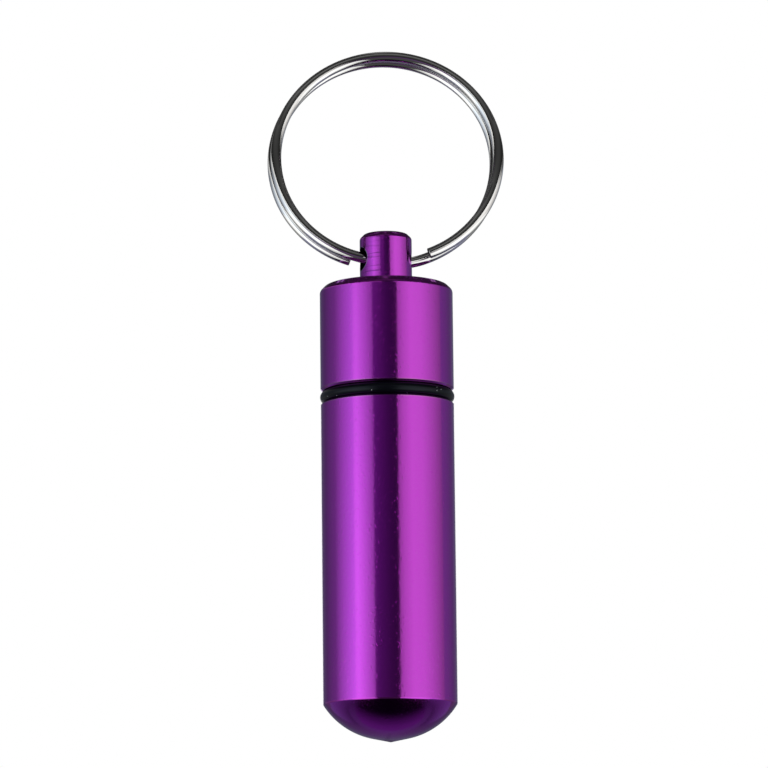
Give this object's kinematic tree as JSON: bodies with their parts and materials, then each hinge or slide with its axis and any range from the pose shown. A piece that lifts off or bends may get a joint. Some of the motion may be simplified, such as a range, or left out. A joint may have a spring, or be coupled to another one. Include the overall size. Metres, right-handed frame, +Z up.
{
  "type": "keychain pill case",
  "caption": "Slim round pill case on a split key ring: a domed barrel screws into a cap with a drilled post, sealed by an O-ring.",
  "frame": {"origin": "the point inside the top of the split ring where the case hangs from a hook or a key", "axes": "+Z up along the case towards the ring, +X to the right across the split ring, -Y the pictured front; the ring leans towards +Y"},
  "size_m": [0.0251, 0.0141, 0.0745],
  "materials": {
    "anodised": "bright purple anodised, turned and polished",
    "rubber": "matte black moulded rubber",
    "plated_wire": "polished nickel-plated steel wire"
  },
  "bodies": {
    "split_ring": {"split_ring": "plated_wire"},
    "screw_cap": {"screw_cap": "anodised"},
    "o_ring": {"o_ring": "rubber"},
    "barrel": {"barrel": "anodised"}
  },
  "joints": [
    {"name": "ring_swing", "type": "hinge", "parent": "split_ring", "child": "screw_cap", "pos_m": [0, -0.00461, -0.02227], "axis": [0.9613, 0.2756, 0], "range_deg": [-86, 66]},
    {"name": "barrel_drop", "type": "slide", "parent": "screw_cap", "child": "o_ring", "axis": [0, 0, -1], "range_m": [0, 0.0075]},
    {"name": "barrel_turn", "type": "hinge", "parent": "o_ring", "child": "barrel", "pos_m": [0, -0.00461, -0.03757], "axis": [0, 0, -1], "range_deg": [0, 2700]}
  ],
  "couplings": [
    {"joint": "barrel_drop", "follows": "barrel_turn", "m_per_rad": 0.00015915}
  ]
}
